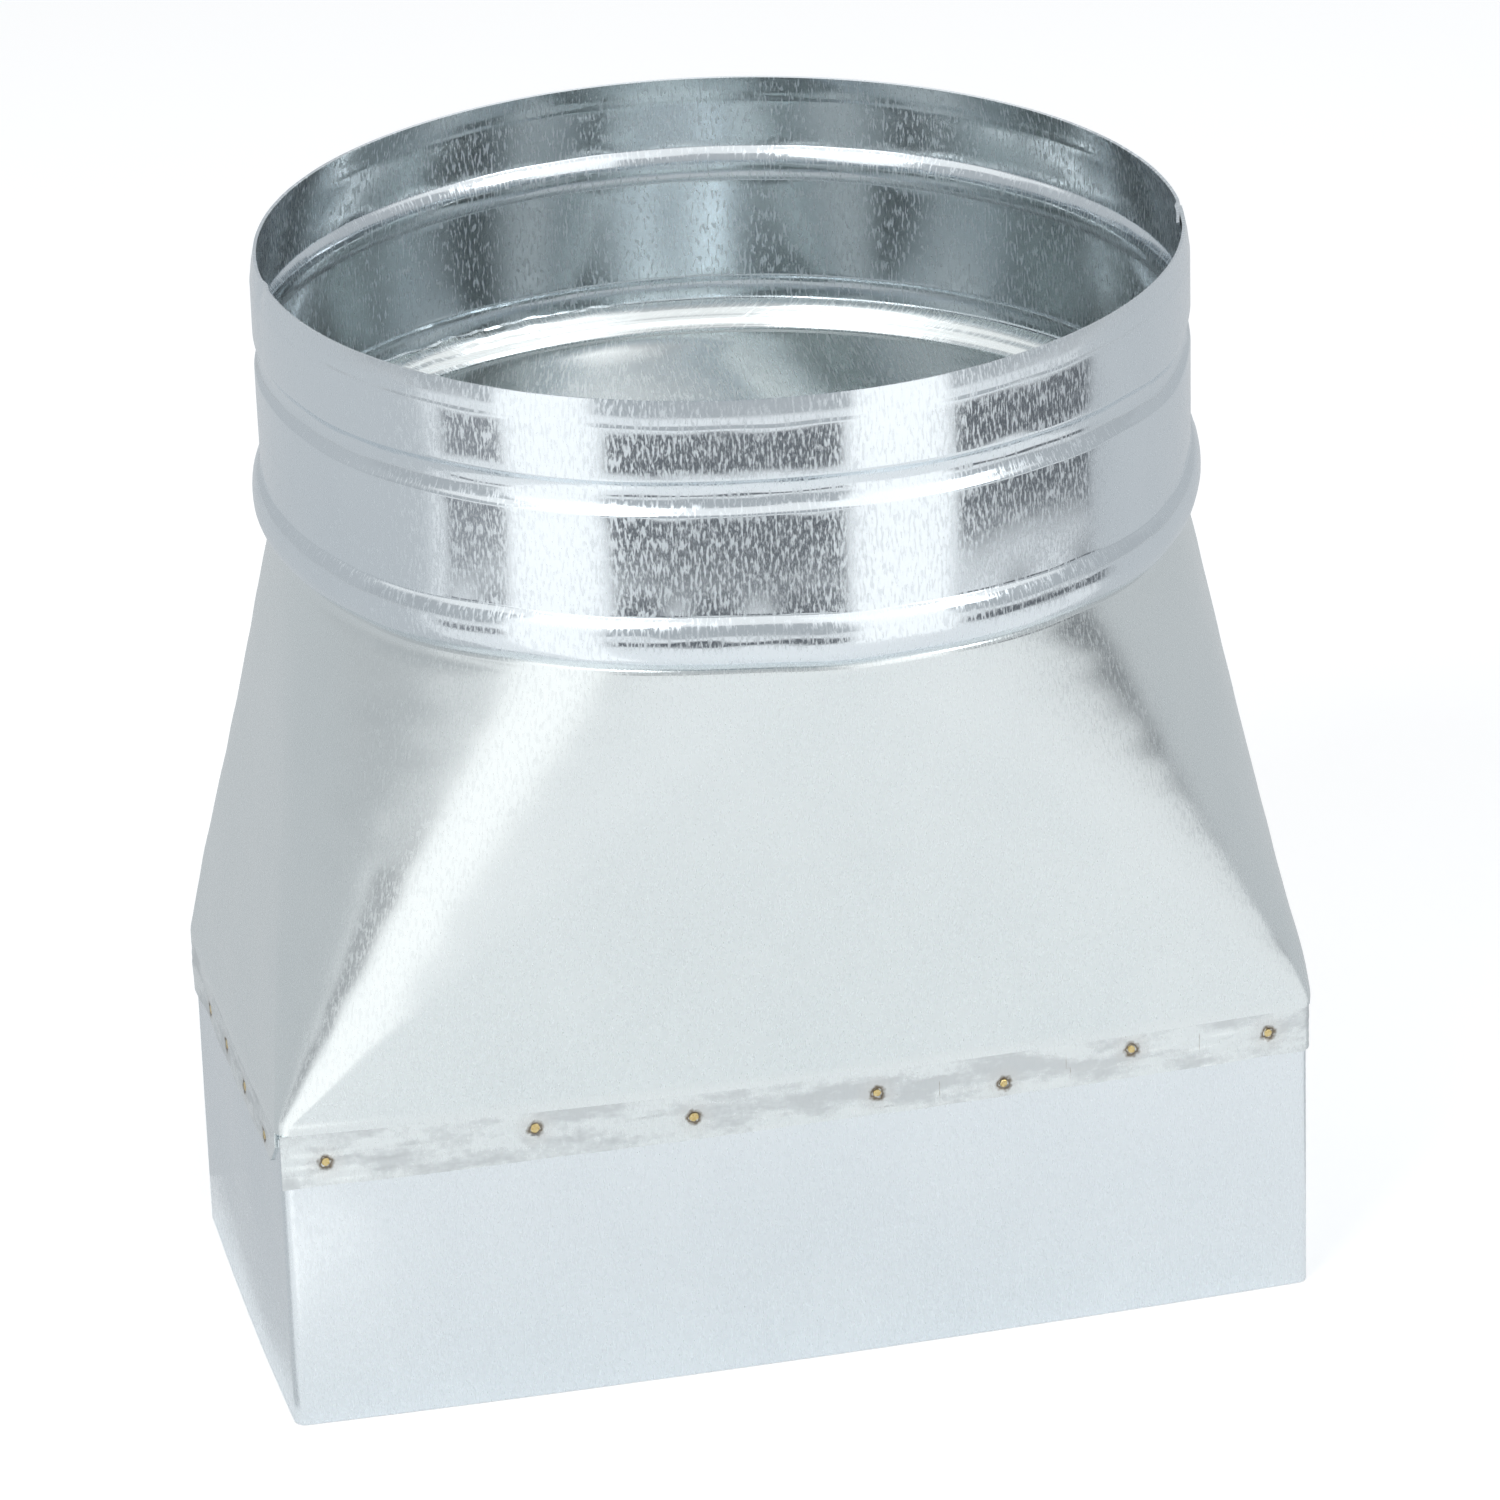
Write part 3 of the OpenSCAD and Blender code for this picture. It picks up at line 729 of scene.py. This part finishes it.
def emitter(name, grey):
    material = bpy.data.materials.new(name)
    material.use_nodes = True
    nodes, links = material.node_tree.nodes, material.node_tree.links
    nodes.clear()
    glow = nodes.new("ShaderNodeEmission")
    glow.inputs["Color"].default_value = (grey[0], grey[1], grey[2], 1.0)
    out = nodes.new("ShaderNodeOutputMaterial")
    links.new(glow.outputs[0], out.inputs[0])
    return material


def card(name, corners, grey):
    """A studio card: lists of four corners in metres. Only reflections show it."""
    mesh = bpy.data.meshes.new(name)
    points = [c for quad in corners for c in quad]
    mesh.from_pydata(points, [], [tuple(range(4 * i, 4 * i + 4)) for i in range(len(corners))])
    mesh.materials.append(emitter(name, grey))
    thing = bpy.data.objects.new(name, mesh)
    thing.visible_camera = False
    thing.visible_diffuse = False
    thing.visible_shadow = False
    thing.visible_transmission = False
    bpy.context.scene.collection.objects.link(thing)
    return thing


VIEW_TURN = 76.9


def seen_from_wall(degrees, distance, z):
    """The point that the collar's wall shows at this direction, as far out as given in metres."""
    start = polar(WALL_R * MM, np.array(float(degrees)))
    way = polar(1.0, np.array(2.0 * degrees + 180.0 - VIEW_TURN))
    p = start + way * distance
    return (float(p[0]), float(p[1]), z)


def standing_card(name, a, b, distance, low, high, grey):
    quads = []
    for i in range(6):
        c, d = a + (b - a) * i / 6, a + (b - a) * (i + 1) / 6
        quads.append([seen_from_wall(c, distance, low), seen_from_wall(d, distance, low),
                      seen_from_wall(d, distance, high), seen_from_wall(c, distance, high)])
    return card(name, quads, grey)


def lying_card(name, a, b, near, far, grey):
    quads = []
    for i in range(6):
        c, d = a + (b - a) * i / 6, a + (b - a) * (i + 1) / 6
        quads.append([seen_from_wall(c, near, 0.002), seen_from_wall(d, near, 0.002),
                      seen_from_wall(d, far, 0.002), seen_from_wall(c, far, 0.002)])
    return card(name, quads, grey)


def make_studio():
    scene = bpy.context.scene
    mesh = bpy.data.meshes.new("floor")
    mesh.from_pydata([(-4, -4, -0.0002), (4, -4, -0.0002), (4, 4, -0.0002), (-4, 4, -0.0002)], [], [(0, 1, 2, 3)])
    floor = bpy.data.objects.new("floor", mesh)
    scene.collection.objects.link(floor)
    p = Paint("pale_floor")
    nodes, links = p.nodes, p.links
    nodes.remove(p.shader)
    diffuse = p.node("ShaderNodeBsdfDiffuse", {"Color": (0.86, 0.865, 0.87, 1.0)})
    path = p.node("ShaderNodeLightPath")
    seen = p.math("MAXIMUM", path.outputs["Is Camera Ray"], path.outputs["Is Transmission Ray"])
    lift = p.math("MULTIPLY_ADD", seen, 0.34, p.math("MULTIPLY", path.outputs["Is Glossy Ray"], 0.10))
    glow = p.node("ShaderNodeEmission", {"Color": (1.0, 1.0, 1.0, 1.0), "Strength": lift})
    both = p.node("ShaderNodeAddShader")
    links.new(diffuse.outputs[0], both.inputs[0])
    links.new(glow.outputs[0], both.inputs[1])
    links.new(both.outputs[0], nodes["Material Output"].inputs[0])
    mesh.materials.append(p.material)

    dark, dusk, grey = (0.13, 0.14, 0.155), (0.28, 0.29, 0.31), (0.60, 0.62, 0.64)
    mid, soft, white = (0.50, 0.52, 0.54), (0.55, 0.57, 0.59), (1.25, 1.25, 1.25)
    standing_card("flag_left", -139.5, -130.8, 0.43, 0.0, 0.065, dusk)
    standing_card("flag_middle", -117.5, -88.8, 0.425, 0.0, 0.065, dark)
    standing_card("flag_right", -74.5, -53.0, 0.425, 0.0, 0.075, dark)
    lying_card("soft_card_low_left", -130.8, -118.5, 0.05, 0.60, white)
    lying_card("soft_card_low_right", -88.0, -75.5, 0.33, 0.60, white)
    standing_card("soft_card_left", -130.8, -118.5, 0.60, 0.0, 1.1, white)
    standing_card("soft_card_right", -88.0, -75.5, 0.60, 0.0, 1.1, white)
    z = 0.0012
    card("floor_card", [
        [(-1.6, -0.05, z), (-0.106, -0.05, z), (-0.106, 1.6, z), (-1.6, 1.6, z)],
        [(0.106, -0.02, z), (1.6, -0.35, z), (1.6, 1.6, z), (0.106, 1.6, z)],
        [(-0.106, 0.06, z), (0.106, 0.06, z), (0.106, 1.6, z), (-0.106, 1.6, z)]], grey)
    ring = np.radians(np.linspace(0, 360, 49))
    front, back = [], []
    for i in range(48):
        a, b = ring[i], ring[i + 1]
        quad = [(2.6 * math.cos(a), 2.6 * math.sin(a), -0.1), (2.6 * math.cos(b), 2.6 * math.sin(b), -0.1),
                (2.6 * math.cos(b), 2.6 * math.sin(b), 2.0), (2.6 * math.cos(a), 2.6 * math.sin(a), 2.0)]
        (front if math.sin((a + b) / 2) < 0.25 else back).append(quad)
    card("studio_wall_front", front, mid)
    card("studio_wall_back", back, soft)

    for name, place, size, power in (("lamp_left", (-1.25, -1.05, 1.35), 0.9, 14.0),
                                     ("lamp_right", (1.15, -1.30, 1.25), 0.8, 10.0),
                                     ("lamp_top", (0.0, 0.15, 1.95), 1.5, 12.0)):
        data = bpy.data.lights.new(name, "AREA")
        data.shape = "SQUARE"
        data.size = size
        data.energy = power
        lamp = bpy.data.objects.new(name, data)
        lamp.location = place
        lamp.rotation_euler = (Vector((0, 0, 0.1)) - Vector(place)).to_track_quat("-Z", "Y").to_euler()
        lamp.visible_camera = False
        scene.collection.objects.link(lamp)

    world = bpy.data.worlds.new("studio")
    scene.world = world
    world.use_nodes = True
    tree = world.node_tree
    tree.nodes.clear()
    path = tree.nodes.new("ShaderNodeLightPath")
    first = tree.nodes.new("ShaderNodeMath")
    first.operation = "MAXIMUM"
    second = tree.nodes.new("ShaderNodeMath")
    second.operation = "MAXIMUM"
    tree.links.new(path.outputs["Is Camera Ray"], first.inputs[0])
    tree.links.new(path.outputs["Is Glossy Ray"], first.inputs[1])
    tree.links.new(first.outputs[0], second.inputs[0])
    tree.links.new(path.outputs["Is Transmission Ray"], second.inputs[1])
    shown = tree.nodes.new("ShaderNodeBackground")
    shown.inputs["Color"].default_value = (1.0, 1.0, 1.0, 1.0)
    shown.inputs["Strength"].default_value = 1.0
    light = tree.nodes.new("ShaderNodeBackground")
    light.inputs["Color"].default_value = (0.95, 0.975, 1.0, 1.0)
    light.inputs["Strength"].default_value = 0.36
    choose = tree.nodes.new("ShaderNodeMixShader")
    tree.links.new(second.outputs[0], choose.inputs[0])
    tree.links.new(light.outputs[0], choose.inputs[1])
    tree.links.new(shown.outputs[0], choose.inputs[2])
    out = tree.nodes.new("ShaderNodeOutputWorld")
    tree.links.new(choose.outputs[0], out.inputs[0])
    scene.view_settings.view_transform = "Standard"


make_camera()
make_studio()
